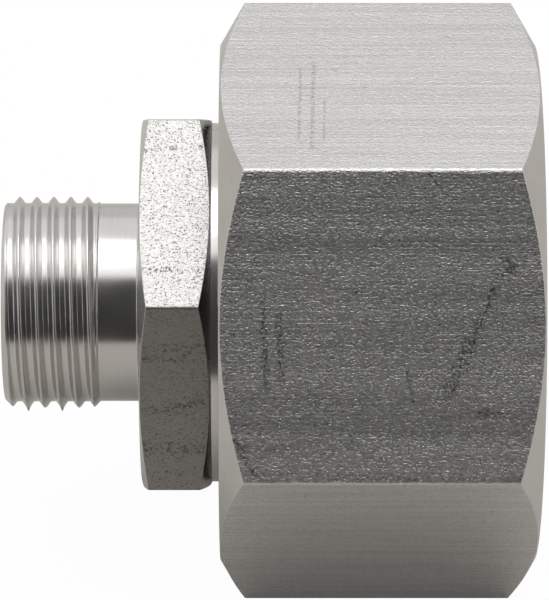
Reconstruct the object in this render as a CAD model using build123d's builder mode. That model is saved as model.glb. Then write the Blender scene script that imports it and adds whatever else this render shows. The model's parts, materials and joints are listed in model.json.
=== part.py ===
from build123d import *
import os
from math import radians, sqrt, tan

# Reducing coupling: a turned fitting with a small male thread at one end and a large swivel nut
# at the other. Millimetres. X is the axis, from the male end to the nut's open end, and the
# origin lies on the axis halfway along. The nut rests on one of its flats, which faces down.

# Small male end
male_thread_diameter = 16.662
male_thread_pitch = 1.337
male_thread_depth = 0.53
male_thread_root = 0.5  # flat between the flanks
male_thread_angle = 55.0
male_length = 10.8
male_end_chamfer = 0.631
relief_diameter = 15.6
relief_length = 3.3
relief_root_chamfer = 0.3
inner_cone_mouth = 13.0
small_bore = 9.5
sealing_cone_angle = 60.0

# Hexagon of the fitting
hex_over_neck = 0.2  # the flats stand this far above the neck
hex_width = 5.5
hex_chamfer_angle = 15.0  # at the small side
hex_neck_chamfer_angle = 20.0
hex_edge_radius = 0.3
hex_turn = 26.2  # from the nut's hexagon, as the loose nut lies

# Neck that the nut turns on, and the nose
neck_thread_clearance = 0.9955  # the neck passes through the nut's thread as the two go together
nose_drop = 3.4  # from the neck down to the nose tip
nose_tip_wall = 1.25
nose_edge_chamfer = 0.3
nose_behind_thread = 0.5
drill_point_angle = 118.0
drill_point_past_hex = 0.15  # the drilled cone meets the small bore this far past the hexagon

# Swivel nut
nut_across_flats = 41.0
nut_length = 24.7
nut_gap = 0.65  # from the fitting's hexagon to the nut
nut_chamfer_depth = 0.2  # below the flats, at the end faces
nut_chamfer_angle = 30.0
nut_edge_radius = 0.4
nut_thread_wall = 5.3545  # from the flats to the crests of the thread
nut_thread_length = 10.0
nut_mouth_wall = 3.6
nut_mouth_angle = 120.0
nut_relief_wall = 3.6
nut_collar_length = 7.5
nut_turning_clearance = 0.25
nut_collar_chamfer = 0.4

# Spring ring that keeps the nut on the neck
ring_width = 2.0
ring_wall = 2.0
ring_opening = 20.0  # degrees between its ends
ring_from_nut_back = 2.75
ring_hold = 0.9  # depth of its groove in the nut
ring_clearance = 0.05

# Radii that the sections are drawn with
thread_radius = male_thread_diameter / 2
relief_radius = relief_diameter / 2
nut_thread_radius = nut_across_flats / 2 - nut_thread_wall
nut_mouth_radius = nut_across_flats / 2 - nut_mouth_wall
nut_relief_radius = nut_across_flats / 2 - nut_relief_wall
neck_radius = nut_thread_radius - neck_thread_clearance
tip_radius = neck_radius - nose_drop
large_bore_radius = tip_radius - nose_tip_wall
hex_across_flats = 2 * (neck_radius + hex_over_neck)
nut_collar_radius = neck_radius + nut_turning_clearance
nut_groove_radius = nut_collar_radius + ring_hold
ring_outer_radius = nut_groove_radius - ring_clearance
ring_inner_radius = ring_outer_radius - ring_wall
neck_groove_radius = neck_radius - ring_wall - ring_clearance  # it takes the closed ring

# Stations along the axis
cone_slope = tan(radians(sealing_cone_angle / 2))
overall_length = male_length + hex_width + nut_gap + nut_length
male_end_x = -overall_length / 2
relief_x = male_end_x + male_length - relief_length
thread_end_x = relief_x - thread_radius + relief_radius
thread_flank_run = male_thread_depth * tan(radians(male_thread_angle / 2))
thread_groove_half = male_thread_root / 2 + thread_flank_run
thread_groove_x = thread_end_x - male_thread_pitch + thread_groove_half  # the last crest ends the thread
thread_groove_count = int((thread_end_x - male_end_x) / male_thread_pitch)
hex_left_x = male_end_x + male_length
hex_right_x = hex_left_x + hex_width
nut_back_x = hex_right_x + nut_gap
nut_front_x = nut_back_x + nut_length
nut_mouth_depth = (nut_mouth_radius - nut_thread_radius) / tan(radians(nut_mouth_angle / 2))
nut_thread_end_x = nut_front_x - nut_mouth_depth - nut_thread_length
nut_shoulder_x = nut_back_x + nut_collar_length
nose_tip_x = nut_thread_end_x - nose_behind_thread
nose_base_x = nose_tip_x - (neck_radius - tip_radius) / cone_slope
drill_point_x = hex_left_x - drill_point_past_hex
drill_point_length = (large_bore_radius - small_bore / 2) / tan(radians(drill_point_angle / 2))
ring_x = nut_back_x + ring_from_nut_back + ring_width / 2


def hexagon_bar(across_flats, width, left_x, turn, edge_radius):
    # Bar stock with softened long edges; a flat faces down when turn is 0
    with BuildPart() as bar:
        with BuildSketch(Plane.YZ.offset(left_x)):
            RegularPolygon(across_flats / 2, 6, major_radius=False, rotation=turn)
        extrude(amount=width)
        fillet(bar.edges().filter_by(Axis.X), edge_radius)
    return bar.part


def chamfered_bar(left_x, right_x, across_flats, face_radius, left_angle, right_angle):
    # Solid of revolution that a turned hexagon stays inside: a chamfer round each end face
    reach = across_flats / sqrt(3) + 1
    left_run = (reach - face_radius) * tan(radians(left_angle))
    right_run = (reach - face_radius) * tan(radians(right_angle))
    with BuildPart() as envelope:
        with BuildSketch(Plane.XZ):
            with BuildLine():
                Polyline(
                    (left_x, 0),
                    (left_x, face_radius),
                    (left_x + left_run, reach),
                    (right_x - right_run, reach),
                    (right_x, face_radius),
                    (right_x, 0),
                    close=True,
                )
            make_face()
        revolve(axis=Axis.X)
    return envelope.part


def band(width, inner_radius, outer_radius, turn=360.0):
    # Flat ring about the axis where the spring ring lies, as large as its groove or itself
    with BuildPart() as ring:
        with BuildSketch(Plane.XZ):
            with Locations((ring_x, inner_radius)):
                Rectangle(width, outer_radius - inner_radius, align=(Align.CENTER, Align.MIN))
        revolve(axis=Axis.X, revolution_arc=turn)
    return ring.part


os.makedirs("parts", exist_ok=True)

# Fitting body: male end, hexagon, neck and nose, turned from one bar
fitting_hexagon = hexagon_bar(hex_across_flats, hex_width, hex_left_x, hex_turn, hex_edge_radius)
fitting_envelope = chamfered_bar(
    hex_left_x,
    hex_right_x,
    hex_across_flats,
    neck_radius,
    hex_chamfer_angle,
    hex_neck_chamfer_angle,
)
with BuildPart() as fitting_body:
    add(fitting_hexagon)
    add(fitting_envelope, mode=Mode.INTERSECT)
    with BuildSketch(Plane.XZ) as turned:
        with BuildLine():
            Polyline(
                (male_end_x, 0),
                (male_end_x, thread_radius - male_end_chamfer),
                (male_end_x + male_end_chamfer, thread_radius),
                (thread_end_x, thread_radius),
                (relief_x, relief_radius),
                (hex_left_x, relief_radius),
                (hex_left_x, neck_radius),
                (nose_base_x, neck_radius),
                (nose_tip_x, tip_radius),
                (nose_tip_x, 0),
                close=True,
            )
        make_face()
        relief_root = turned.vertices().sort_by_distance((hex_left_x, relief_radius))[0]
        chamfer(relief_root, relief_root_chamfer)
    revolve(axis=Axis.X)
    # Male thread: ring grooves of its pitch, depth and angle
    groove_places = [
        (thread_groove_x - number * male_thread_pitch, thread_radius) for number in range(thread_groove_count)
    ]
    with BuildSketch(Plane.XZ):
        with Locations(*groove_places):
            Polygon(
                (-thread_groove_half, 0),
                (-male_thread_root / 2, -male_thread_depth),
                (male_thread_root / 2, -male_thread_depth),
                (thread_groove_half, 0),
                align=None,
            )
    revolve(axis=Axis.X, mode=Mode.SUBTRACT)
    # Passage: inner cone, small bore, and the large bore with its drill point
    with BuildSketch(Plane.XZ):
        with BuildLine():
            Polyline(
                (male_end_x, 0),
                (male_end_x, inner_cone_mouth / 2),
                (male_end_x + (inner_cone_mouth - small_bore) / 2 / cone_slope, small_bore / 2),
                (drill_point_x, small_bore / 2),
                (drill_point_x + drill_point_length, large_bore_radius),
                (nose_tip_x, large_bore_radius),
                (nose_tip_x, 0),
                close=True,
            )
        make_face()
    revolve(axis=Axis.X, mode=Mode.SUBTRACT)
    chamfer(fitting_body.faces().sort_by(Axis.X)[-1].edges(), nose_edge_chamfer)
    neck_groove = band(ring_width + 2 * ring_clearance, neck_groove_radius, nut_collar_radius)
    add(neck_groove, mode=Mode.SUBTRACT)
fitting_body.part.label = "fitting_body"
export_step(fitting_body.part, "parts/fitting_body.step")

# Swivel nut: hexagon bar, chamfered at both ends, bored to the crests of its thread
nut_hexagon = hexagon_bar(nut_across_flats, nut_length, nut_back_x, 0, nut_edge_radius)
nut_envelope = chamfered_bar(
    nut_back_x,
    nut_front_x,
    nut_across_flats,
    nut_across_flats / 2 - nut_chamfer_depth,
    nut_chamfer_angle,
    nut_chamfer_angle,
)
with BuildPart() as swivel_nut:
    add(nut_hexagon)
    add(nut_envelope, mode=Mode.INTERSECT)
    with BuildSketch(Plane.XZ):
        with BuildLine():
            Polyline(
                (nut_front_x, 0),
                (nut_front_x, nut_mouth_radius),
                (nut_front_x - nut_mouth_depth, nut_thread_radius),
                (nut_thread_end_x, nut_thread_radius),
                (nut_thread_end_x - nut_relief_radius + nut_thread_radius, nut_relief_radius),
                (nut_shoulder_x, nut_relief_radius),
                (nut_shoulder_x, nut_collar_radius + nut_collar_chamfer),
                (nut_shoulder_x - nut_collar_chamfer, nut_collar_radius),
                (nut_back_x + nut_collar_chamfer, nut_collar_radius),
                (nut_back_x, nut_collar_radius + nut_collar_chamfer),
                (nut_back_x, 0),
                close=True,
            )
        make_face()
    revolve(axis=Axis.X, mode=Mode.SUBTRACT)
    nut_groove = band(ring_width + 2 * ring_clearance, neck_radius, nut_groove_radius)
    add(nut_groove, mode=Mode.SUBTRACT)
swivel_nut.part.label = "swivel_nut"
export_step(swivel_nut.part, "parts/swivel_nut.step")

# Spring ring: open at one place, sprung out into the nut and half in the neck's groove
with BuildPart() as retaining_ring:
    add(band(ring_width, ring_inner_radius, ring_outer_radius, 360 - ring_opening))
retaining_ring.part.label = "retaining_ring"
export_step(retaining_ring.part, "parts/retaining_ring.step")
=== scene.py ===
import json
import math

import bmesh
import bpy
import numpy as np
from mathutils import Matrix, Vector


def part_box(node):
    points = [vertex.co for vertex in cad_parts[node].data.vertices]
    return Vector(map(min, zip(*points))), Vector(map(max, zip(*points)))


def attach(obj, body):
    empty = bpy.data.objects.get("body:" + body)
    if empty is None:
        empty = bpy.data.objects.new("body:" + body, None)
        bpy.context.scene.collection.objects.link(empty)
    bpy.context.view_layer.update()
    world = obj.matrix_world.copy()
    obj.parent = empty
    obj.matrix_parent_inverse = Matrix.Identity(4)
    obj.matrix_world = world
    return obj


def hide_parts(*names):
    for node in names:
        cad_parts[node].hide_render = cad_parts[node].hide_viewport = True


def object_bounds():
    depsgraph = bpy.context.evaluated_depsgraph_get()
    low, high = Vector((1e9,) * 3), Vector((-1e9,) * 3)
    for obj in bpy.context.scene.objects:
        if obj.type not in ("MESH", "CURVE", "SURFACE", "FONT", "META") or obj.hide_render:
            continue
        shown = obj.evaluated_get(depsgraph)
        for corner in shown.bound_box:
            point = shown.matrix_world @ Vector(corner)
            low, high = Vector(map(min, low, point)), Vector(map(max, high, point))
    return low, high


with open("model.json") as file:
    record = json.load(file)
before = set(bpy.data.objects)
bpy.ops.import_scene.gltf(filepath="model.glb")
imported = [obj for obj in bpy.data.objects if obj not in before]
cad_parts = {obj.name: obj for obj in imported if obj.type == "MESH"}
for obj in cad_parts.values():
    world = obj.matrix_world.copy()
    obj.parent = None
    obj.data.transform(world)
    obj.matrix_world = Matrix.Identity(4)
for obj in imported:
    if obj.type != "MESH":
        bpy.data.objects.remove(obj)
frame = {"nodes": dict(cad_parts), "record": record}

mm = 0.001
scene = bpy.context.scene
mounts = {mount["name"]: mount for mount in frame["record"]["mounts"]}
cadLow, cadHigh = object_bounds()
print("frame loaded, nodes:", ", ".join(sorted(frame["nodes"])))

# Picture frame and camera: the photo looks down at the nut's front edge through a long lens
shot = {
    "widthPx": 549,
    "heightPx": 600,
    "elevation": 35.25,  # degrees above the axis
    "distance": 388 * mm,  # from the axis
    "pxPerMm": 12.656,  # at the axis
    "centrePx": (269.7, 302.2),  # where the middle of the part lies
    "sensor": 36.0,
    "clipStart": 10 * mm,
}


def placeCamera():
    tilt = math.radians(shot["elevation"])
    away = Vector((0, -math.cos(tilt), math.sin(tilt)))
    up = Vector((0, math.sin(tilt), math.cos(tilt)))
    aside = (shot["widthPx"] / 2 - shot["centrePx"][0]) / shot["pxPerMm"] * mm
    lift = (shot["centrePx"][1] - shot["heightPx"] / 2) / shot["pxPerMm"] * mm
    data = bpy.data.cameras.new("camera")
    data.sensor_width = shot["sensor"]
    data.lens = shot["pxPerMm"] * shot["distance"] / mm / shot["heightPx"] * shot["sensor"]
    data.clip_start = shot["clipStart"]
    camera = bpy.data.objects.new("camera", data)
    camera.location = away * shot["distance"] + up * lift + Vector((aside, 0, 0))
    camera.rotation_euler = (math.pi / 2 - tilt, 0, 0)
    scene.collection.objects.link(camera)
    scene.camera = camera


placeCamera()
print("camera placed")


# Node trees are written with these few helpers
def addNode(tree, kind, inputs=None, **settings):
    node = tree.nodes.new(kind)
    for key, value in settings.items():
        setattr(node, key, value)
    for key, value in (inputs or {}).items():
        if isinstance(value, bpy.types.NodeSocket):
            tree.links.new(value, node.inputs[key])
        else:
            node.inputs[key].default_value = value
    return node


def doMath(tree, operation, *values):
    node = addNode(tree, "ShaderNodeMath", dict(enumerate(values)), operation=operation)
    return node.outputs[0]


def doVector(tree, operation, *values):
    node = addNode(tree, "ShaderNodeVectorMath", dict(enumerate(values)), operation=operation)
    return node.outputs["Value" if operation == "DOT_PRODUCT" else "Vector"]


def ramp(tree, value, low, high, start=0.0, end=1.0, kind="SMOOTHSTEP"):
    inputs = {"Value": value, "From Min": low, "From Max": high, "To Min": start, "To Max": end}
    return addNode(tree, "ShaderNodeMapRange", inputs, interpolation_type=kind).outputs[0]


def mixColour(tree, factor, first, second, blend="MIX"):
    node = addNode(tree, "ShaderNodeMix", data_type="RGBA", blend_type=blend)
    for socket, value in zip((node.inputs[0], node.inputs[6], node.inputs[7]), (factor, first, second)):
        if isinstance(value, bpy.types.NodeSocket):
            tree.links.new(value, socket)
        else:
            socket.default_value = value
    return node.outputs[2]


def noise(tree, place, scale, detail=2.0, roughness=0.5, stretch=(1.0, 1.0, 1.0)):
    # a small stretch draws the pattern out along that axis
    spread = doVector(tree, "MULTIPLY", place, stretch)
    inputs = {"Vector": spread, "Scale": scale, "Detail": detail, "Roughness": roughness}
    return addNode(tree, "ShaderNodeTexNoise", inputs).outputs[0]


def grey(level):
    return (level, level, level, 1)


# Steel finishes: patterns are scaled in millimetres, and a span is the part of a noise that a ramp takes up
noiseSpan = (0.3, 0.7)  # most of a noise lies between these
steelLook = {
    "tint": (0.62, 0.61, 0.595, 1),
    "markTint": (0.12, 0.115, 0.11, 1),
    "markCore": 0.2,  # share of a stroke's width in which it is full
    "markReach": (0.15, 0.05),  # mm under the flat: where marks begin and where they are full
}


def startSteel(name):
    material = bpy.data.materials.new(name)
    material.use_nodes = True
    tree = material.node_tree
    shader = tree.nodes["Principled BSDF"]
    shader.inputs["Metallic"].default_value = 1.0
    place = addNode(tree, "ShaderNodeTexCoord").outputs["Object"]
    inMm = doVector(tree, "MULTIPLY", place, (1 / mm, 1 / mm, 1 / mm))
    return material, tree, shader, inMm


def finishSteel(tree, shader, colour, roughness, height, depth):
    tree.links.new(colour, shader.inputs["Base Color"])
    tree.links.new(roughness, shader.inputs["Roughness"])
    inputs = {"Height": height, "Distance": depth, "Strength": 1.0}
    bump = addNode(tree, "ShaderNodeBump", inputs)
    tree.links.new(bump.outputs[0], shader.inputs["Normal"])


# Handling marks and rows of dirt, as strokes on a flat: two ends and half a width, all in mm
# An end is its place along the axis and up the flat, or towards the back on the nut's top
strokes = {
    "nutFront": (
        ((6.5, 2.8), (6.7, 2.7), 0.55), ((-0.5, 2.0), (-0.2, -4.6), 0.4),
        ((0.7, 1.0), (0.9, -4.2), 0.4), ((17.7, 5.0), (18.1, 4.4), 0.7),
        ((17.3, 3.9), (15.2, -1.0), 0.45), ((15.2, -1.0), (13.6, -4.6), 0.95),
        ((10.4, -3.4), (10.8, -5.6), 0.3), ((11.9, 11.5), (13.1, 10.1), 0.12),
        ((-2.6, -8.6), (-1.0, -11.2), 0.4), ((15.8, -6.4), (17.2, -6.6), 0.45),
    ),
    "nutTop": (
        ((2.2, -7.5), (2.4, 2.0), 0.18), ((3.2, -9.0), (3.4, 3.0), 0.25), ((4.1, -8.0), (4.2, -2.0), 0.12),
    ),
    "hexFront": (
        ((-9.7, 3.6), (-5.1, 3.65), 0.4), ((-9.4, -1.0), (-5.0, -0.3), 0.6),
        ((-9.6, -4.5), (-5.0, -4.6), 0.5),
    ),
    "hexTop": (((-9.6, 5.7), (-5.4, 5.75), 0.4), ((-9.6, -5.0), (-5.2, -4.95), 0.35)),
}


def strokeMask(tree, along, across, marks):
    # nearness to any of the strokes, 1 at its middle line and 0 at its edge
    mask = None
    for (x1, y1), (x2, y2), halfWidth in marks:
        runX, runY = x2 - x1, y2 - y1
        square = runX**2 + runY**2
        fromX = doMath(tree, "SUBTRACT", along, x1)
        fromY = doMath(tree, "SUBTRACT", across, y1)
        share = doMath(tree, "MULTIPLY", fromY, runY / square)
        share = doMath(tree, "MULTIPLY_ADD", fromX, runX / square, share)
        share = doMath(tree, "MINIMUM", doMath(tree, "MAXIMUM", share, 0.0), 1.0)
        offX = doMath(tree, "SUBTRACT", fromX, doMath(tree, "MULTIPLY", share, runX))
        offY = doMath(tree, "SUBTRACT", fromY, doMath(tree, "MULTIPLY", share, runY))
        squares = doMath(tree, "MULTIPLY_ADD", offX, offX, doMath(tree, "MULTIPLY", offY, offY))
        away = doMath(tree, "SQRT", squares)
        near = ramp(tree, away, halfWidth * steelLook["markCore"], halfWidth, 1.0, 0.0)
        mask = near if mask is None else doMath(tree, "MAXIMUM", mask, near)
    return mask


def flatMarks(tree, place, facing, flatRadius, marks):
    # the strokes lie on the flat that faces this way, in degrees about the axis
    turn = math.radians(facing)
    out, up = (0, math.cos(turn), math.sin(turn)), (0, math.sin(turn), -math.cos(turn))
    along = addNode(tree, "ShaderNodeSeparateXYZ", {0: place}).outputs[0]
    mask = strokeMask(tree, along, doVector(tree, "DOT_PRODUCT", place, up), marks)
    start, full = steelLook["markReach"]
    height = doVector(tree, "DOT_PRODUCT", place, out)
    onFlat = ramp(tree, height, flatRadius - start, flatRadius - full)
    return doMath(tree, "MULTIPLY", mask, onFlat)


drawnLook = {
    "grain": {"scale": 2.6, "detail": 3.0, "roughness": 0.6, "stretch": (1.5, 2.5, 2.5)},
    "lines": {"scale": 1.6, "detail": 4.0, "roughness": 0.65, "stretch": (0.03, 3.0, 3.0)},
    "bands": {"scale": 1.0, "stretch": (0.02, 0.5, 0.5)},
    "dirt": {"scale": 5.0, "detail": 3.0, "roughness": 0.7, "stretch": (1.0, 0.8, 0.8)},
    "pits": {"scale": 1.7, "stretch": (0.5, 1.6, 1.6)},
    "lineSpan": (0.35, 0.65),
    "lineShade": (0.88, 1.06),
    "fleckSpan": (0.53, 0.66),
    "fleckShare": 0.35,
    "fleckLevel": 0.85,
    "frontFlat": 150,  # degrees about the axis
    "frontDirtSpan": (0.42, 0.66),
    "topFlat": 90,
    "topDirtSpan": (0.40, 0.62),
    "topDirtShare": 0.5,
    "pitSpan": (0.70, 0.76),
    "pitShare": 0.35,
    "roughness": (0.26, 0.36),
    "bandSpan": (0.3, 0.6),
    "bandDepth": (0.85, 1.0),  # the grain's height across the bands
    "lineHeight": 0.35,  # against the grain's
    "depth": 0.078 * mm,
}


def drawnSteel(flatRadius):
    look = drawnLook
    material, tree, shader, place = startSteel("drawnSteel")
    grain = noise(tree, place, **look["grain"])
    lines = noise(tree, place, **look["lines"])
    bands = noise(tree, place, **look["bands"])
    dirt = noise(tree, place, **look["dirt"])
    shade = ramp(tree, lines, *look["lineSpan"], *look["lineShade"])
    colour = mixColour(tree, 1.0, steelLook["tint"], shade, "MULTIPLY")
    flecks = ramp(tree, grain, *look["fleckSpan"], 0.0, look["fleckShare"])
    colour = mixColour(tree, flecks, colour, grey(look["fleckLevel"]))
    front = flatMarks(tree, place, look["frontFlat"], flatRadius, strokes["nutFront"])
    front = doMath(tree, "MULTIPLY", front, ramp(tree, dirt, *look["frontDirtSpan"]))
    top = flatMarks(tree, place, look["topFlat"], flatRadius, strokes["nutTop"])
    top = doMath(tree, "MULTIPLY", top, ramp(tree, dirt, *look["topDirtSpan"], 0.0, look["topDirtShare"]))
    pits = ramp(tree, noise(tree, place, **look["pits"]), *look["pitSpan"], 0.0, look["pitShare"])
    worn = doMath(tree, "MAXIMUM", doMath(tree, "MAXIMUM", front, top), pits)
    colour = mixColour(tree, worn, colour, steelLook["markTint"])
    roughness = ramp(tree, grain, *noiseSpan, *look["roughness"])
    grainHeight = doMath(tree, "MULTIPLY", grain, ramp(tree, bands, *look["bandSpan"], *look["bandDepth"]))
    height = doMath(tree, "MULTIPLY_ADD", lines, look["lineHeight"], grainHeight)
    finishSteel(tree, shader, colour, roughness, height, look["depth"])
    return material


barLook = {
    "tint": (0.58, 0.57, 0.555, 1),
    "frontShadeTint": (0.30, 0.29, 0.275, 1),  # painted shade: the front flat made darker, standing for the dark place that it reflects
    "frontShadeReach": (0.10, 0.02),  # mm under that flat: where the painted shade begins and where it is full
    "frontFlat": 150,  # degrees about the axis from the hexagon's turn
    "topFlat": 90,
    "grain": {"scale": 3.2, "detail": 3.0, "roughness": 0.6, "stretch": (1.0, 1.6, 1.6)},
    "specks": {"scale": 5.0, "detail": 1.0, "stretch": (1.2, 1.7, 1.7)},
    "rows": {"scale": 0.55, "stretch": (0.05, 1.0, 1.0)},
    "dirt": {"scale": 3.4, "detail": 3.0, "roughness": 0.7},
    "speckSpan": (0.60, 0.70),
    "speckShare": 0.65,
    "speckLevel": 0.08,
    "speckHeight": -0.5,  # against the grain's
    "rowSpan": (0.60, 0.68),
    "rowShare": 0.8,
    "dirtSpan": (0.50, 0.62),
    "roughness": (0.42, 0.54),
    "depth": 0.035 * mm,
}


def barSteel(flatRadius, turn):
    look = barLook
    front, top = turn + look["frontFlat"], turn + look["topFlat"]
    material, tree, shader, place = startSteel("barSteel")
    grain = noise(tree, place, **look["grain"])
    specks = ramp(tree, noise(tree, place, **look["specks"]), *look["speckSpan"])
    rows = ramp(tree, noise(tree, place, **look["rows"]), *look["rowSpan"], 0.0, look["rowShare"])
    dirt = ramp(tree, noise(tree, place, **look["dirt"]), *look["dirtSpan"])
    # painted shade: the flat that faces the front is darkened, as it looks where it reflects the dark place
    # in front
    facing = math.radians(front)
    outward = doVector(tree, "DOT_PRODUCT", place, (0, math.cos(facing), math.sin(facing)))
    start, full = look["frontShadeReach"]
    frontShade = ramp(tree, outward, flatRadius - start, flatRadius - full)
    base = mixColour(tree, frontShade, look["tint"], look["frontShadeTint"])
    speckled = doMath(tree, "MULTIPLY", specks, look["speckShare"])
    colour = mixColour(tree, speckled, base, grey(look["speckLevel"]))
    topRows = flatMarks(tree, place, top, flatRadius, strokes["hexTop"])
    frontRows = flatMarks(tree, place, front, flatRadius, strokes["hexFront"])
    marked = doMath(tree, "MULTIPLY", doMath(tree, "MAXIMUM", topRows, frontRows), dirt)
    dirty = doMath(tree, "MAXIMUM", doMath(tree, "MULTIPLY", dirt, rows), marked)
    colour = mixColour(tree, dirty, colour, steelLook["markTint"])
    roughness = ramp(tree, grain, *noiseSpan, *look["roughness"])
    height = doMath(tree, "MULTIPLY_ADD", specks, look["speckHeight"], grain)
    finishSteel(tree, shader, colour, roughness, height, look["depth"])
    return material


turnedLook = {
    "lines": {"scale": 9.0, "detail": 3.0, "roughness": 0.6},
    "cloud": {"scale": 0.35, "detail": 3.0},
    "lineShade": (-0.03, 0.03),
    "cloudShade": (0.95, 1.0),
    "cloudRoughness": (0.9, 1.15),  # shares of the finish's own
    "roughness": {"turned": 0.20, "thread": 0.22, "bored": 0.32, "spring": 0.3},
    "lineDepth": {"turned": 0.002 * mm, "thread": 0.002 * mm, "bored": 0.006 * mm, "spring": 0.004 * mm},
}


def turnedSteel(name, kind):
    look = turnedLook
    material, tree, shader, place = startSteel(name)
    x, y, z = addNode(tree, "ShaderNodeSeparateXYZ", {0: place}).outputs
    squares = doMath(tree, "ADD", doMath(tree, "MULTIPLY", y, y), doMath(tree, "MULTIPLY", z, z))
    radius = doMath(tree, "SQRT", squares)
    section = addNode(tree, "ShaderNodeCombineXYZ", {0: x, 1: radius, 2: 0.0}).outputs[0]
    lines = noise(tree, section, **look["lines"])
    cloud = noise(tree, place, **look["cloud"])
    lineShade = ramp(tree, lines, *noiseSpan, *look["lineShade"])
    shade = doMath(tree, "ADD", lineShade, ramp(tree, cloud, *noiseSpan, *look["cloudShade"]))
    colour = mixColour(tree, 1.0, steelLook["tint"], shade, "MULTIPLY")
    low, high = (share * look["roughness"][kind] for share in look["cloudRoughness"])
    roughness = ramp(tree, cloud, *noiseSpan, low, high)
    finishSteel(tree, shader, colour, roughness, lines, look["lineDepth"][kind])
    return material


turned = turnedSteel("turnedSteel", "turned")
threadSteel = turnedSteel("threadSteel", "thread")
bored = turnedSteel("boredSteel", "bored")
print("steel finishes made")


# Turned and milled forms: rings of points about the axis, one column for each angle
def cornerAngle(across, rounding):
    middle = (across / 2 - rounding) / math.cos(math.pi / 6)
    return math.atan2(rounding / 2, middle + rounding * math.cos(math.pi / 6))


def sweepAngles(turn, across, rounding, steps=240, cornerSteps=8, beside=1.6, clear=2.2):
    # even columns, except near a corner, which has closer ones and one more on each side
    half = cornerAngle(across, rounding)
    corners = [math.radians(turn + 60 * k) for k in range(6)]
    spread = np.concatenate([np.linspace(-half, half, cornerSteps + 1), [-beside * half, beside * half]])
    fine = np.concatenate([corner + spread for corner in corners])
    even = np.arange(steps) * 2 * math.pi / steps
    gap = np.abs((even[:, None] - np.array(corners)[None, :] + math.pi / 6) % (math.pi / 3) - math.pi / 6)
    even = even[gap.min(axis=1) > clear * half]
    return np.sort(np.concatenate([even, fine]) % (2 * math.pi))


def hexRadius(angles, across, rounding, turn):
    # distance from the axis to a hexagon with rounded corners; a corner lies at turn
    fromCorner = (angles - math.radians(turn) + math.pi / 6) % (math.pi / 3) - math.pi / 6
    flat = across / 2 / np.cos(math.pi / 6 - np.abs(fromCorner))
    middle = (across / 2 - rounding) / math.cos(math.pi / 6)
    inside = np.maximum(rounding**2 - (middle * np.sin(fromCorner)) ** 2, 0)
    arc = middle * np.cos(fromCorner) + np.sqrt(inside)
    return np.where(np.abs(fromCorner) < cornerAngle(across, rounding), arc, flat)


def softRings(corners, columns, softening, steps=3, mostShare=0.2):
    # corners: (x, radius, finish of the surface that follows); each is rounded by a short curve
    points = [np.stack([np.broadcast_to(x, columns), np.broadcast_to(r, columns)], 1).astype(float)
              for x, r, finish in corners]
    rings = [(points[0], corners[0][2])]
    for k in range(1, len(points) - 1):
        here, finish = points[k], corners[k][2]
        pulls = []
        for other in (points[k - 1], points[k + 1]):
            run = other - here
            length = np.maximum(np.linalg.norm(run, axis=1, keepdims=True), 1e-9)  # two rings may meet
            pulls.append(run / length * np.minimum(softening, mostShare * length))
        before, after = here + pulls[0], here + pulls[1]
        rings.append((here + 2 * pulls[0], corners[k - 1][2]))
        for t in np.linspace(0, 1, steps + 1):
            curve = before * (1 - t) ** 2 + here * 2 * t * (1 - t) + after * t**2
            rings.append((curve, corners[k - 1][2] if t < 0.5 else finish))
        rings.append((here + 2 * pulls[1], finish))
    rings.append((points[-1], corners[-1][2]))
    return rings


def joinLoops(work, first, second, finish):
    count = len(first)
    for k in range(count):
        after = (k + 1) % count
        face = work.faces.new((first[k], first[after], second[after], second[k]))
        face.material_index = finish
        face.smooth = True


def addRings(work, rings, angles, names):
    wheel = np.stack([np.cos(angles), np.sin(angles)], 1)
    rows = []
    for ring, finish in rings:
        rows.append([work.verts.new((x, r * c, r * s)) for (x, r), (c, s) in zip(ring, wheel)])
    for row, nextRow, (ring, finish) in zip(rows, rows[1:], rings):
        joinLoops(work, row, nextRow, names.index(finish))
    return rows[0], rows[-1]


# A thread is a grid laid along its helix: the columns stand at the angles of the turned rings
threadLook = {
    "rowsPerTurn": 18,
    "spareTurns": 4,  # they cover the helix's shift about the axis
    "flankCurve": 0.35,  # from straight flanks at 0 to rounded ones at 1
    "wearScale": 900.0,  # of the noise, to the metre
    "wearPower": 4.0,  # a high power keeps the wear near the crests
    "burrPower": 8.0,
    "burrHalfWidth": math.radians(7),
    "mergeWithin": 0.001 * mm,
    "seamWithin": 0.005 * mm,
    "seam": 0.05 * mm,  # width of the band that joins it to the turned form
}


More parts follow.
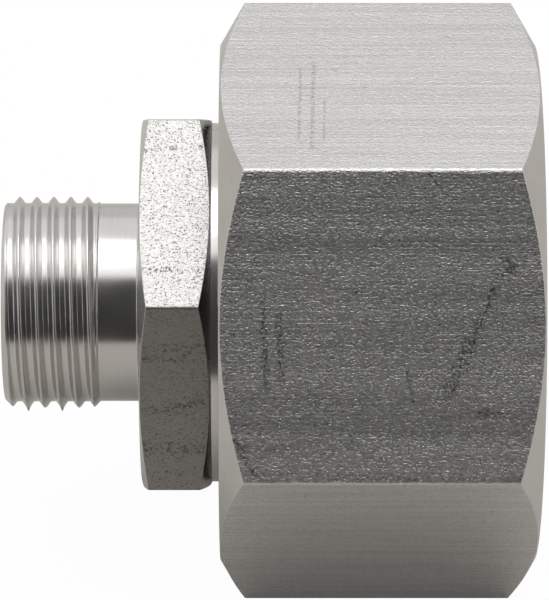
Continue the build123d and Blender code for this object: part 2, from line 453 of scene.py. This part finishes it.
def threadTree():
    look = threadLook
    tree = bpy.data.node_groups.new("helicalThread", "GeometryNodeTree")
    face = tree.interface
    face.new_socket("Geometry", in_out="INPUT", socket_type="NodeSocketGeometry")
    sizes = ("Pitch", "Start X", "End X", "Crest Radius", "Depth", "Outward", "Crest X", "Crest Angle",
             "Crest Flat", "Root Flat", "Start Radius", "Start Slope", "End Radius", "End Slope",
             "Fade X", "Fade Length", "Wear", "Burr", "Burr Angle", "Seed")
    for size in sizes:
        face.new_socket(size, in_out="INPUT", socket_type="NodeSocketFloat")
    for count in ("Columns", "Rows", "Rows Per Turn"):
        face.new_socket(count, in_out="INPUT", socket_type="NodeSocketInt")
    face.new_socket("Finish", in_out="INPUT", socket_type="NodeSocketMaterial")
    face.new_socket("Geometry", in_out="OUTPUT", socket_type="NodeSocketGeometry")
    given = addNode(tree, "NodeGroupInput").outputs
    columns = doMath(tree, "ADD", given["Columns"], 1.0)
    grid = addNode(tree, "GeometryNodeMeshGrid", {"Vertices X": columns, "Vertices Y": given["Rows"]})
    index = addNode(tree, "GeometryNodeInputIndex").outputs[0]
    column = doMath(tree, "FLOOR", doMath(tree, "DIVIDE", doMath(tree, "ADD", index, 0.5), given["Rows"]))
    row = doMath(tree, "SUBTRACT", index, doMath(tree, "MULTIPLY", column, given["Rows"]))
    place = addNode(tree, "GeometryNodeInputPosition").outputs[0]
    stored = addNode(tree, "GeometryNodeSampleIndex",
                     {"Geometry": given["Geometry"], "Value": place, "Index": column},
                     data_type="FLOAT_VECTOR", domain="POINT").outputs[0]
    angle = addNode(tree, "ShaderNodeSeparateXYZ", {0: stored}).outputs[0]
    fromCrest = doMath(tree, "DIVIDE", doMath(tree, "SUBTRACT", angle, given["Crest Angle"]), 2 * math.pi)
    # X of this row, held between the two ends
    firstTurn = doMath(tree, "FLOOR", doMath(tree, "DIVIDE",
        doMath(tree, "SUBTRACT", given["Start X"], given["Crest X"]), given["Pitch"]))
    turns = doMath(tree, "ADD", doMath(tree, "DIVIDE", row, given["Rows Per Turn"]),
                   doMath(tree, "SUBTRACT", firstTurn, 1.0))
    turns = doMath(tree, "ADD", turns, fromCrest)
    along = doMath(tree, "MULTIPLY_ADD", turns, given["Pitch"], given["Crest X"])
    along = doMath(tree, "MINIMUM", doMath(tree, "MAXIMUM", along, given["Start X"]), given["End X"])
    # Height of the thread form there, 1 on the crest and 0 in the root
    turn = doMath(tree, "SUBTRACT",
                  doMath(tree, "DIVIDE", doMath(tree, "SUBTRACT", along, given["Crest X"]), given["Pitch"]),
                  fromCrest)
    whole = doMath(tree, "ROUND", turn)
    fromMiddle = doMath(tree, "ABSOLUTE", doMath(tree, "SUBTRACT", turn, whole))
    flankStart = doMath(tree, "DIVIDE", given["Crest Flat"], 2.0)
    flankEnd = doMath(tree, "SUBTRACT", 0.5, doMath(tree, "DIVIDE", given["Root Flat"], 2.0))
    straight = ramp(tree, fromMiddle, flankStart, flankEnd, 1.0, 0.0, "LINEAR")
    curved = ramp(tree, fromMiddle, flankStart, flankEnd, 1.0, 0.0)
    bulge = doMath(tree, "SUBTRACT", curved, straight)
    form = doMath(tree, "MULTIPLY_ADD", bulge, look["flankCurve"], straight)
    rootRadius = doMath(tree, "SUBTRACT", doMath(tree, "MULTIPLY", given["Outward"], given["Crest Radius"]),
                        given["Depth"])
    fade = ramp(tree, along, given["Fade X"], doMath(tree, "ADD", given["Fade X"], given["Fade Length"]))
    form = doMath(tree, "MAXIMUM", form, fade)
    reach = doMath(tree, "MULTIPLY_ADD", form, given["Depth"], rootRadius)
    # Wear along the crest, and a burr on every second turn
    wheel = addNode(tree, "ShaderNodeCombineXYZ", {
        0: along,
        1: doMath(tree, "MULTIPLY", doMath(tree, "COSINE", angle), given["Crest Radius"]),
        2: doMath(tree, "MULTIPLY", doMath(tree, "SINE", angle), given["Crest Radius"])}).outputs[0]
    rough = addNode(tree, "ShaderNodeTexNoise",
                    {"Vector": wheel, "W": given["Seed"], "Scale": look["wearScale"], "Detail": 2.0},
                    noise_dimensions="4D").outputs[0]
    crest = doMath(tree, "POWER", form, look["wearPower"])
    wear = doMath(tree, "MULTIPLY", doMath(tree, "MULTIPLY", doMath(tree, "SUBTRACT", rough, 0.5), crest),
                  given["Wear"])
    second = doMath(tree, "SUBTRACT", 1.0, doMath(tree, "FLOORED_MODULO", whole, 2.0))
    near = ramp(tree, doMath(tree, "ABSOLUTE", doMath(tree, "SUBTRACT", angle, given["Burr Angle"])),
                0.0, look["burrHalfWidth"], 1.0, 0.0)
    burr = doMath(tree, "MULTIPLY", doMath(tree, "MULTIPLY", near, second),
                  doMath(tree, "MULTIPLY", doMath(tree, "POWER", form, look["burrPower"]), given["Burr"]))
    reach = doMath(tree, "ADD", reach, doMath(tree, "ADD", wear, burr))
    # End chamfers cut it back
    startCut = doMath(tree, "MULTIPLY_ADD", doMath(tree, "SUBTRACT", along, given["Start X"]),
                      given["Start Slope"], doMath(tree, "MULTIPLY", given["Outward"], given["Start Radius"]))
    endCut = doMath(tree, "MULTIPLY_ADD", doMath(tree, "SUBTRACT", given["End X"], along),
                    given["End Slope"], doMath(tree, "MULTIPLY", given["Outward"], given["End Radius"]))
    reach = doMath(tree, "MINIMUM", reach, doMath(tree, "MINIMUM", startCut, endCut))
    radius = doMath(tree, "MULTIPLY", reach, given["Outward"])
    point = addNode(tree, "ShaderNodeCombineXYZ", {
        0: along,
        1: doMath(tree, "MULTIPLY", doMath(tree, "COSINE", angle), radius),
        2: doMath(tree, "MULTIPLY", doMath(tree, "SINE", angle), radius)}).outputs[0]
    # Each of these takes the geometry that the one before it gives
    shape = grid.outputs[0]
    for kind, inputs in (
            ("GeometryNodeSetPosition", {"Position": point}),
            ("GeometryNodeMergeByDistance", {"Distance": look["mergeWithin"]}),
            ("GeometryNodeSetShadeSmooth", {}),
            ("GeometryNodeRealizeInstances", {}),
            ("GeometryNodeSetMaterial", {"Material": given["Finish"]})):
        shape = addNode(tree, kind, {"Geometry": shape, **inputs}).outputs[0]
    addNode(tree, "NodeGroupOutput", {"Geometry": shape})
    return tree


helicalThread = threadTree()


def threadMesh(name, angles, sizes, finish):
    seeds = bpy.data.meshes.new(name)
    spots = list(angles) + [angles[0] + 2 * math.pi]  # the last column closes the turn
    seeds.from_pydata([(spot, 0, 0) for spot in spots], [], [])
    carrier = bpy.data.objects.new(name, seeds)
    scene.collection.objects.link(carrier)
    modifier = carrier.modifiers.new("thread", "NODES")
    modifier.node_group = helicalThread
    perTurn = threadLook["rowsPerTurn"]
    band = sizes["End X"] - sizes["Start X"]
    rows = int((band / sizes["Pitch"] + threadLook["spareTurns"]) * perTurn) + 1
    values = {"Columns": len(angles), "Rows": rows, "Rows Per Turn": perTurn, "Finish": finish, **sizes}
    for item in helicalThread.interface.items_tree:
        if item.in_out == "INPUT" and item.name in values:
            modifier[item.identifier] = values[item.name]
    bpy.context.view_layer.update()
    shaped = carrier.evaluated_get(bpy.context.evaluated_depsgraph_get())
    mesh = bpy.data.meshes.new_from_object(shaped)
    carrier.modifiers.remove(modifier)
    bpy.data.objects.remove(carrier)
    return mesh


def addThread(work, mesh, startLoop, endLoop, sizes, finish):
    # set the thread between two open rings and join it to both
    known = set(work.verts)
    knownFaces = set(work.faces)
    work.from_mesh(mesh)
    bpy.data.meshes.remove(mesh)
    for face in work.faces:
        if face not in knownFaces:
            face.material_index = finish
            face.smooth = True
    fresh = [vert for vert in work.verts if vert not in known]
    edge = [vert for vert in fresh if vert.is_boundary]
    for x, loop in ((sizes["Start X"], startLoop), (sizes["End X"], endLoop)):
        ring = [vert for vert in edge if abs(vert.co.x - x) < threadLook["seamWithin"]]
        # by angle, where one just under a full turn counts as 0
        ring.sort(key=lambda vert: (math.atan2(vert.co.z, vert.co.y) + 1e-7) % (2 * math.pi))
        print("  thread end at", round(x / mm, 3), "has", len(ring), "points for", len(loop))
        joinLoops(work, loop, ring, finish)


def finishPiece(work, name, finishes):
    bmesh.ops.recalc_face_normals(work, faces=work.faces)
    openEdges = sum(1 for edge in work.edges if not edge.is_manifold)
    mesh = bpy.data.meshes.new(name)
    work.to_mesh(mesh)
    work.free()
    for finish in finishes.values():
        mesh.materials.append(finish)
    piece = bpy.data.objects.new(name, mesh)
    scene.collection.objects.link(piece)
    print("made", name, len(mesh.polygons), "faces,", openEdges, "open edges")
    return piece


neckRadius = 14.15 * mm  # of the fitting, where the nut turns on it

# Swivel nut
nutShape = {
    "cornerRounding": 0.4 * mm,
    "chamferDepth": 0.2 * mm,  # below the flats at the end faces
    "chamferSlope": math.tan(math.radians(30)),
    "edgeSoftening": 0.06 * mm,
    "mouthWall": 3.6 * mm,
    "mouthSlope": math.tan(math.radians(60)),
    "threadPitch": 2.309 * mm,
    "threadDepth": 1.479 * mm,
    "crestShare": 0.2,  # of the pitch
    "rootShare": 0.14,
    "wear": 0.02 * mm,
    "wearSeed": 3.0,
    "shoulder": 7.5 * mm,  # from the back face
    "collarGap": 0.25 * mm,
    "collarChamfer": 0.4 * mm,
    "ringHold": 0.9 * mm,
}


def swivelNut():
    s = nutShape
    low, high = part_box("swivel_nut")
    across = high.z - low.z
    back, front = low.x, high.x
    angles = sweepAngles(0, across, s["cornerRounding"])
    flats = hexRadius(angles, across, s["cornerRounding"], 0)
    faceCircle = across / 2 - s["chamferDepth"]
    mouth = across / 2 - s["mouthWall"]
    collar = neckRadius + s["collarGap"]
    shoulder = back + s["shoulder"]
    ringLow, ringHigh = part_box("retaining_ring")
    grooveDeep = collar + s["ringHold"]
    ringPlay = grooveDeep - ringHigh.z
    crest = mounts["nut_thread"]["dims"]["r_mm"] * mm
    threadEnd = mounts["nut_thread"]["pos_m"][0] - mounts["nut_thread"]["dims"]["length_mm"] * mm / 2
    reliefEnd = threadEnd - mouth + crest
    corners = [
        (front, mouth + threadLook["seam"], "turned"),
        (front, faceCircle, "turned"),
        (front - (flats - faceCircle) * s["chamferSlope"], flats, "drawn"),
        (back + (flats - faceCircle) * s["chamferSlope"], flats, "turned"),
        (back, faceCircle, "turned"),
        (back, collar + s["collarChamfer"], "turned"),
        (back + s["collarChamfer"], collar, "turned"),
        (ringLow.x - ringPlay, collar, "turned"),
        (ringLow.x - ringPlay, grooveDeep, "turned"),
        (ringHigh.x + ringPlay, grooveDeep, "turned"),
        (ringHigh.x + ringPlay, collar, "turned"),
        (shoulder - s["collarChamfer"], collar, "turned"),
        (shoulder, collar + s["collarChamfer"], "turned"),
        (shoulder, mouth, "turned"),
        (reliefEnd - threadLook["seam"], mouth, "turned"),
    ]
    sizes = {
        "Pitch": s["threadPitch"], "Start X": reliefEnd, "End X": front,
        "Crest Radius": crest, "Depth": s["threadDepth"], "Outward": -1.0,
        "Crest X": front - s["threadPitch"], "Crest Angle": 0.0,
        "Crest Flat": s["crestShare"], "Root Flat": s["rootShare"],
        "Start Radius": mouth, "Start Slope": 1.0, "End Radius": mouth, "End Slope": s["mouthSlope"],
        "Fade X": 1.0, "Fade Length": 0.1,  # a metre away, so this thread has no run-out
        "Wear": s["wear"], "Burr": 0.0, "Burr Angle": 0.0, "Seed": s["wearSeed"],
    }
    finishes = {"turned": turned, "drawn": drawnSteel(across / 2 / mm), "thread": threadSteel}
    names = list(finishes)
    work = bmesh.new()
    first, last = addRings(work, softRings(corners, len(angles), s["edgeSoftening"]), angles, names)
    mesh = threadMesh("nutThread", angles, sizes, threadSteel)
    addThread(work, mesh, last, first, sizes, names.index("thread"))
    piece = finishPiece(work, "swivelNut", finishes)
    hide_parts("swivel_nut")
    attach(piece, "nut")


swivelNut()

# Fitting: male end, hexagon, neck and nose in one piece
fittingShape = {
    "threadPitch": 1.337 * mm,
    "threadDepth": 0.5 * mm,
    "crestShare": 0.06,  # of the pitch
    "rootShare": 0.3,
    "crestX": -19.72 * mm,  # of the first crest, on the top outline
    "crestAngle": 54,
    "fadeLength": 0.25 * mm,  # of the thread's run-out into the relief
    "wear": 0.05 * mm,
    "wearSeed": 7.0,
    "burr": 0.3 * mm,
    "burrAngle": 234,
    "endChamfer": 0.631 * mm,
    "endRingShare": 0.5,  # of the thread's depth, from the end chamfer down to where the thread is joined
    "reliefRadius": 7.8 * mm,
    "reliefLength": 3.3 * mm,
    "reliefFillet": 0.3 * mm,
    "maleLength": 10.8 * mm,
    "hexWidth": 5.5 * mm,
    "hexAcross": 28.7 * mm,
    "hexTurn": 26.2,
    "hexRounding": 0.3 * mm,
    "chamferSlope": math.tan(math.radians(15)),  # at the small side
    "neckChamferSlope": math.tan(math.radians(20)),
    "edgeSoftening": 0.05 * mm,
    "tipRadius": 10.75 * mm,
    "tipEdge": 0.3 * mm,
    "tipWall": 1.25 * mm,
    "coneSlope": math.tan(math.radians(30)),  # of the nose and the inner cone
    "smallBore": 4.75 * mm,
    "coneMouth": 6.5 * mm,
    "drillSlope": math.tan(math.radians(59)),
    "drillPointPastHex": 0.15 * mm,
    "ringWall": 2.0 * mm,
    "ringPlay": 0.05 * mm,
}


def fittingBody():
    s = fittingShape
    low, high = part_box("fitting_body")
    end, tip = low.x, high.x
    hexLeft = end + s["maleLength"]
    hexRight = hexLeft + s["hexWidth"]
    reliefX = hexLeft - s["reliefLength"]
    angles = sweepAngles(s["hexTurn"], s["hexAcross"], s["hexRounding"])
    flats = hexRadius(angles, s["hexAcross"], s["hexRounding"], s["hexTurn"])
    neck = neckRadius
    crest = mounts["male_thread"]["dims"]["r_mm"] * mm
    endRadius = crest - s["endChamfer"]
    relief = s["reliefRadius"]
    cone = s["coneSlope"]
    bore = s["tipRadius"] - s["tipWall"]
    drillX = hexLeft - s["drillPointPastHex"]
    ringLow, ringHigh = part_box("retaining_ring")
    groove = neck - s["ringWall"] - s["ringPlay"]
    corners = [
        (reliefX + threadLook["seam"], relief, "turned"),
        (hexLeft - s["reliefFillet"], relief, "turned"),
        (hexLeft, relief + s["reliefFillet"], "turned"),
        (hexLeft, neck, "turned"),
        (hexLeft + (flats - neck) * s["chamferSlope"], flats, "bar"),
        (hexRight - (flats - neck) * s["neckChamferSlope"], flats, "turned"),
        (hexRight, neck, "turned"),
        (ringLow.x - s["ringPlay"], neck, "turned"),
        (ringLow.x - s["ringPlay"], groove, "turned"),
        (ringHigh.x + s["ringPlay"], groove, "turned"),
        (ringHigh.x + s["ringPlay"], neck, "turned"),
        (tip - (neck - s["tipRadius"]) / cone, neck, "turned"),
        (tip - s["tipEdge"], s["tipRadius"] + s["tipEdge"] * cone, "turned"),
        (tip, s["tipRadius"] - s["tipEdge"], "turned"),
        (tip, bore + s["tipEdge"], "turned"),
        (tip - s["tipEdge"], bore, "bored"),
        (drillX + (bore - s["smallBore"]) / s["drillSlope"], bore, "bored"),
        (drillX, s["smallBore"], "bored"),
        (end + (s["coneMouth"] - s["smallBore"]) / cone, s["smallBore"], "turned"),
        (end, s["coneMouth"], "turned"),
        (end, endRadius - s["threadDepth"] * s["endRingShare"], "turned"),
    ]
    sizes = {
        "Pitch": s["threadPitch"], "Start X": end, "End X": reliefX,
        "Crest Radius": crest, "Depth": s["threadDepth"], "Outward": 1.0,
        "Crest X": s["crestX"], "Crest Angle": math.radians(s["crestAngle"]),
        "Crest Flat": s["crestShare"], "Root Flat": s["rootShare"],
        "Start Radius": endRadius, "Start Slope": 1.0, "End Radius": relief, "End Slope": 1.0,
        "Fade X": reliefX - s["fadeLength"], "Fade Length": s["fadeLength"],
        "Wear": s["wear"], "Burr": s["burr"], "Burr Angle": math.radians(s["burrAngle"]),
        "Seed": s["wearSeed"],
    }
    hexSteel = barSteel(s["hexAcross"] / 2 / mm, s["hexTurn"])
    finishes = {"turned": turned, "bar": hexSteel, "thread": threadSteel, "bored": bored}
    names = list(finishes)
    work = bmesh.new()
    first, last = addRings(work, softRings(corners, len(angles), s["edgeSoftening"]), angles, names)
    mesh = threadMesh("fittingThread", angles, sizes, threadSteel)
    addThread(work, mesh, last, first, sizes, names.index("thread"))
    piece = finishPiece(work, "fittingBody", finishes)
    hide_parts("fitting_body")
    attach(piece, "fitting")


fittingBody()

# Spring ring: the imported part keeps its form
ringNode = frame["nodes"]["retaining_ring"]
ringNode.data.materials.clear()
ringNode.data.materials.append(turnedSteel("springSteel", "spring"))

# Studio: a pale floor, a bright ceiling, a lit backdrop and a dark place where the camera stands
studio = {
    "floorSpan": 3.0,
    "floorPaleColour": (0.95, 0.95, 0.95, 1),  # what the camera sees of it
    "floorWhiteShare": 0.97,
    "floorColour": (0.56, 0.53, 0.49, 1),  # what the steel sees of it
    "floorGlossShare": 0.1,  # of white in the steel's view of it
    "tableEdge": (0.1, 0.12),  # between these distances in front the floor turns dark for the steel
    "roomColour": (0.045, 0.04, 0.037, 1),
    "sideSpan": (0.45, 0.85),  # towards the sides the sky has one level
    "sideLevel": 0.75,
    "backdropSpan": (0.2, 0.35),  # towards the back metal sees the white background
    "backdropShare": 0.5,
    "lampPower": 1.2,
    "lampSize": 0.5,
    "lampPlace": (0, 0.1, 0.9),
    "skyMost": 2.0,  # the level that the ramp's 1 stands for
    "skyStops": (  # degrees up from the front, light level
        (-180, 0.45), (-60, 0.45), (-12, 0.42), (-10, 0.05), (25, 0.05), (62, 0.1), (66, 1.5),
        (106, 1.7), (112, 1.05), (148, 1.0), (156, 0.4), (180, 0.4)),
}


def buildWorld():
    world = bpy.data.worlds.new("studio")
    world.use_nodes = True
    tree = world.node_tree
    tree.nodes.clear()
    towards = addNode(tree, "ShaderNodeTexCoord").outputs["Generated"]
    x, y, z = addNode(tree, "ShaderNodeSeparateXYZ", {0: towards}).outputs
    angle = doMath(tree, "ARCTAN2", z, doMath(tree, "MULTIPLY", y, -1.0))
    turn = ramp(tree, angle, -math.pi, math.pi, kind="LINEAR")
    sky = addNode(tree, "ShaderNodeValToRGB", {0: turn})
    stops = sky.color_ramp.elements
    while len(stops) > 1:
        stops.remove(stops[-1])
    for number, (degrees, level) in enumerate(studio["skyStops"]):
        spot = (degrees + 180) / 360
        stop = stops[0] if number == 0 else stops.new(spot)
        stop.position = spot
        stop.color = grey(level / studio["skyMost"])
    levels = addNode(tree, "ShaderNodeVectorMath", {0: sky.outputs[0], "Scale": studio["skyMost"]},
                     operation="SCALE").outputs["Vector"]
    aside = ramp(tree, doMath(tree, "ABSOLUTE", x), *studio["sideSpan"])
    shade = mixColour(tree, aside, levels, grey(studio["sideLevel"]))
    rays = addNode(tree, "ShaderNodeLightPath").outputs
    gloss = doMath(tree, "ADD", rays["Is Glossy Ray"], rays["Is Transmission Ray"])
    behind = doMath(tree, "MULTIPLY", gloss, ramp(tree, y, *studio["backdropSpan"]))
    white = doMath(tree, "MULTIPLY_ADD", behind, studio["backdropShare"], rays["Is Camera Ray"])
    shown = mixColour(tree, white, shade, grey(1))
    light = addNode(tree, "ShaderNodeBackground", {"Color": shown, "Strength": 1.0})
    addNode(tree, "ShaderNodeOutputWorld", {"Surface": light.outputs[0]})
    scene.world = world


def buildFloor():
    span = studio["floorSpan"]
    corners = [(x, y, cadLow.z) for x, y in ((-span, -span), (span, -span), (span, span), (-span, span))]
    mesh = bpy.data.meshes.new("floor")
    mesh.from_pydata(corners, [], [(0, 1, 2, 3)])
    floor = bpy.data.objects.new("floor", mesh)
    scene.collection.objects.link(floor)
    material = bpy.data.materials.new("paleFloor")
    material.use_nodes = True
    tree = material.node_tree
    tree.nodes.clear()
    rays = addNode(tree, "ShaderNodeLightPath").outputs
    place = addNode(tree, "ShaderNodeTexCoord").outputs["Object"]
    forward = doMath(tree, "MULTIPLY", addNode(tree, "ShaderNodeSeparateXYZ", {0: place}).outputs[1], -1.0)
    far = ramp(tree, forward, *studio["tableEdge"])
    table = mixColour(tree, far, studio["floorColour"], studio["roomColour"])
    seen = mixColour(tree, rays["Is Camera Ray"], table, studio["floorPaleColour"])
    matt = addNode(tree, "ShaderNodeBsdfDiffuse", {"Color": seen}).outputs[0]
    white = addNode(tree, "ShaderNodeEmission", {"Color": grey(1), "Strength": 1.0}).outputs[0]
    gloss = doMath(tree, "ADD", rays["Is Glossy Ray"], rays["Is Transmission Ray"])
    near = doMath(tree, "MULTIPLY", gloss, doMath(tree, "SUBTRACT", 1.0, far))
    share = doMath(tree, "MULTIPLY_ADD", near, studio["floorGlossShare"],
                   doMath(tree, "MULTIPLY", rays["Is Camera Ray"], studio["floorWhiteShare"]))
    mixed = addNode(tree, "ShaderNodeMixShader", {0: share, 1: matt, 2: white}).outputs[0]
    addNode(tree, "ShaderNodeOutputMaterial", {"Surface": mixed})
    mesh.materials.append(material)


def hangLamp():
    data = bpy.data.lights.new("ceilingLamp", "AREA")
    data.energy = studio["lampPower"]
    data.size = studio["lampSize"]
    lamp = bpy.data.objects.new("ceilingLamp", data)
    lamp.location = studio["lampPlace"]
    lamp.visible_camera = False
    scene.collection.objects.link(lamp)


buildWorld()
buildFloor()
hangLamp()
scene.view_settings.view_transform = "Standard"
print("studio lit")
